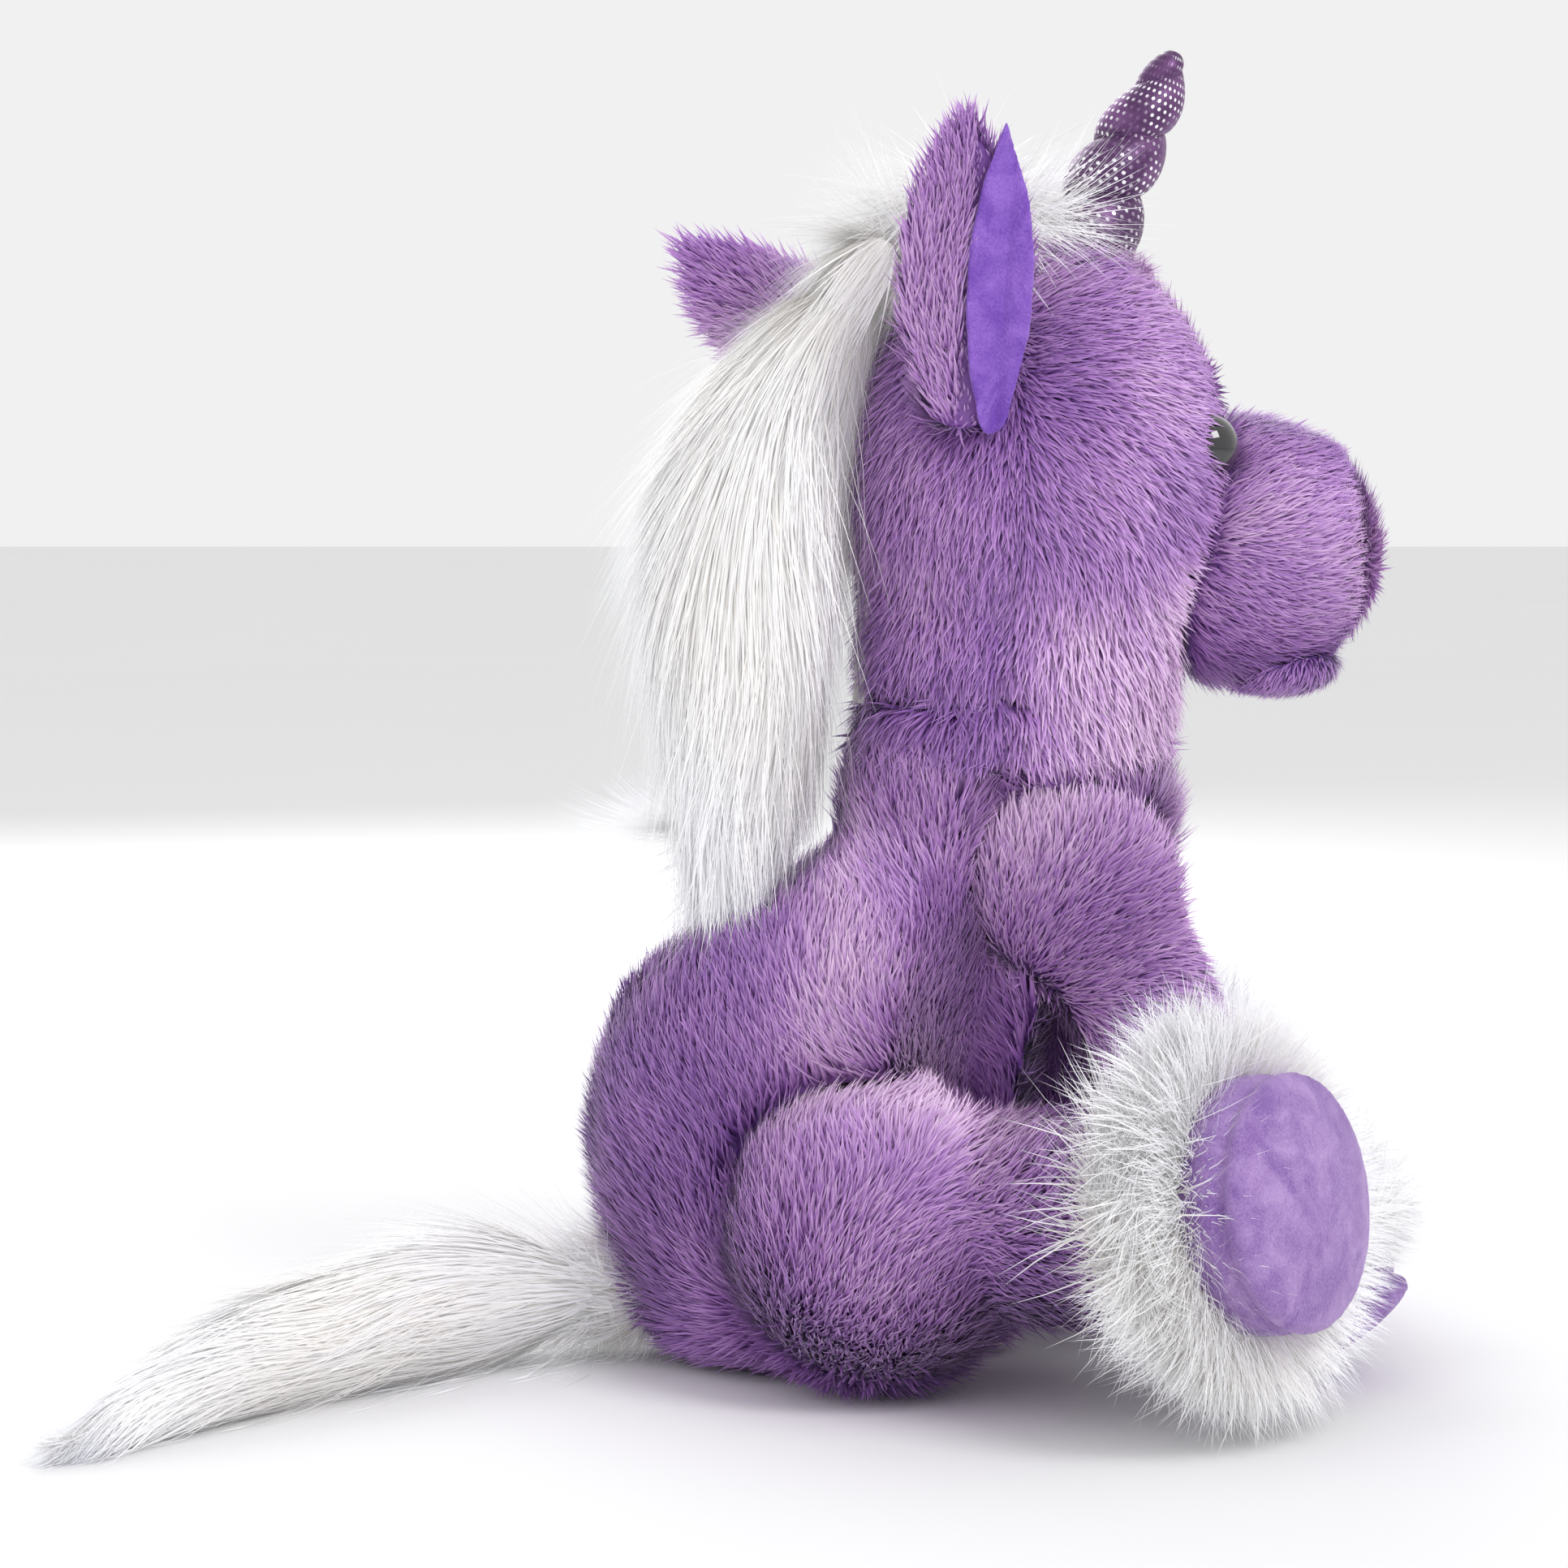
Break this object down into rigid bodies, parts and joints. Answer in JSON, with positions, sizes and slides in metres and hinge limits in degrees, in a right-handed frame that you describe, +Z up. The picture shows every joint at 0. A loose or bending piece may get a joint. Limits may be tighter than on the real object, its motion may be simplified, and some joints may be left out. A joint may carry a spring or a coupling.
{
  "type": "plush unicorn",
  "caption": "Seated stuffed unicorn toy with long purple pile, white mane, tail and ankle cuffs, a spiral horn and soft joints in neck, ears, legs and tail.",
  "frame": {"origin": "middle of the flat seat, between the hips, on the surface that the toy sits on", "axes": "+Z up; the toy faces -Y and its right side is -X"},
  "size_m": [0.2227, 0.2692, 0.2764],
  "materials": {
    "purple_plush": "matte",
    "white_hair": "matte",
    "hoof_fabric": "satin",
    "ear_lining": "satin",
    "horn_fabric": "satin",
    "thread": "matte",
    "eye_plastic": "gloss",
    "washer_plastic": "matte",
    "lining_cloth": "matte",
    "filling": "matte",
    "pellets": "matte"
  },
  "bodies": {
    "torso": {"torso_cover_left": "purple_plush", "torso_cover_right": "purple_plush", "seat_panel": "purple_plush", "pellet_bag": "lining_cloth", "pellets": "pellets", "torso_filling": "filling"},
    "neck": {"neck_filling": "filling"},
    "head": {"crown_gusset": "purple_plush", "nape_panel": "purple_plush", "face_panel_left": "purple_plush", "face_panel_right": "purple_plush", "head_filling": "filling", "muzzle_cover": "purple_plush", "nose_panel": "purple_plush", "muzzle_filling": "filling", "lower_lip": "purple_plush", "eye_left": "eye_plastic", "eye_right": "eye_plastic", "eye_washer_left": "washer_plastic", "eye_washer_right": "washer_plastic", "mane_tape": "lining_cloth", "forelock": "white_hair"},
    "horn": {"horn_cover": "horn_fabric", "horn_filling": "filling", "horn_thread": "thread"},
    "ear_left": {"ear_back_left": "purple_plush", "ear_lining_left": "ear_lining"},
    "ear_right": {"ear_back_right": "purple_plush", "ear_lining_right": "ear_lining"},
    "mane": {"mane": "white_hair"},
    "tail_root": {"tail_root": "white_hair"},
    "tail": {"tail_hair": "white_hair"},
    "front_leg_left": {"front_leg_left_cover": "purple_plush", "front_leg_left_filling": "filling", "front_leg_left_cuff": "white_hair", "front_leg_left_hoof_wall": "hoof_fabric", "front_leg_left_hoof_filling": "filling", "front_leg_left_sole": "hoof_fabric"},
    "hind_leg_left": {"hind_leg_left_cover": "purple_plush", "hind_leg_left_filling": "filling", "hind_leg_left_cuff": "white_hair", "hind_leg_left_hoof_wall": "hoof_fabric", "hind_leg_left_hoof_filling": "filling", "hind_leg_left_sole": "hoof_fabric"},
    "front_leg_right": {"front_leg_right_cover": "purple_plush", "front_leg_right_filling": "filling", "front_leg_right_cuff": "white_hair", "front_leg_right_hoof_wall": "hoof_fabric", "front_leg_right_hoof_filling": "filling", "front_leg_right_sole": "hoof_fabric"},
    "hind_leg_right": {"hind_leg_right_cover": "purple_plush", "hind_leg_right_filling": "filling", "hind_leg_right_cuff": "white_hair", "hind_leg_right_hoof_wall": "hoof_fabric", "hind_leg_right_hoof_filling": "filling", "hind_leg_right_sole": "hoof_fabric"}
  },
  "joints": [
    {"name": "head_turn", "type": "hinge", "parent": "torso", "child": "neck", "pos_m": [0, -0.04, 0.114], "axis": [0, 0, 1], "range_deg": [-40, 40], "stiffness_Nm_per_rad": 0.6},
    {"name": "head_nod", "type": "hinge", "parent": "neck", "child": "head", "pos_m": [0, -0.04, 0.114], "axis": [-0.9903, -0.1392, 0], "range_deg": [-8, 8], "stiffness_Nm_per_rad": 3},
    {"name": "horn_bend", "type": "hinge", "parent": "head", "child": "horn", "pos_m": [0.00237, -0.05683, 0.2355], "axis": [-0.9903, -0.1392, 0], "range_deg": [-12, 12], "stiffness_Nm_per_rad": 0.1},
    {"name": "ear_left_flop", "type": "hinge", "parent": "head", "child": "ear_left", "pos_m": [0.0376, -0.01654, 0.204], "axis": [-0.9781, -0.1375, 0.1564], "range_deg": [-54, 6], "stiffness_Nm_per_rad": 0.02},
    {"name": "ear_right_flop", "type": "hinge", "parent": "head", "child": "ear_right", "pos_m": [-0.04261, -0.02781, 0.204], "axis": [-0.9781, -0.1375, -0.1564], "range_deg": [0, 60], "stiffness_Nm_per_rad": 0.02},
    {"name": "mane_lift", "type": "hinge", "parent": "head", "child": "mane", "pos_m": [-0.00431, -0.0093, 0.232], "axis": [0.9903, 0.1392, 0], "range_deg": [0, 60], "stiffness_Nm_per_rad": 0.05},
    {"name": "tail_swing", "type": "hinge", "parent": "torso", "child": "tail_root", "pos_m": [-0.002, 0.042, 0.014], "axis": [0, 0, 1], "range_deg": [-20, 20], "stiffness_Nm_per_rad": 0.05},
    {"name": "tail_lift", "type": "hinge", "parent": "tail_root", "child": "tail", "pos_m": [-0.00542, 0.0514, 0.014], "axis": [0.9397, 0.342, 0], "range_deg": [0, 35], "stiffness_Nm_per_rad": 0.05},
    {"name": "front_leg_left_raise", "type": "hinge", "parent": "torso", "child": "front_leg_left", "pos_m": [0.0225, -0.052, 0.102], "axis": [-0.9976, -0.0698, 0], "range_deg": [0, 55], "stiffness_Nm_per_rad": 0.8},
    {"name": "hind_leg_left_raise", "type": "hinge", "parent": "torso", "child": "hind_leg_left", "pos_m": [0.034, -0.016, 0.033], "axis": [-0.809, -0.5878, 0], "range_deg": [0, 40], "stiffness_Nm_per_rad": 0.8},
    {"name": "front_leg_right_raise", "type": "hinge", "parent": "torso", "child": "front_leg_right", "pos_m": [-0.0225, -0.052, 0.102], "axis": [-0.9976, 0.0698, 0], "range_deg": [0, 55], "stiffness_Nm_per_rad": 0.8},
    {"name": "hind_leg_right_raise", "type": "hinge", "parent": "torso", "child": "hind_leg_right", "pos_m": [-0.034, -0.016, 0.033], "axis": [-0.809, 0.5878, 0], "range_deg": [-10, 30], "stiffness_Nm_per_rad": 0.8}
  ]
}
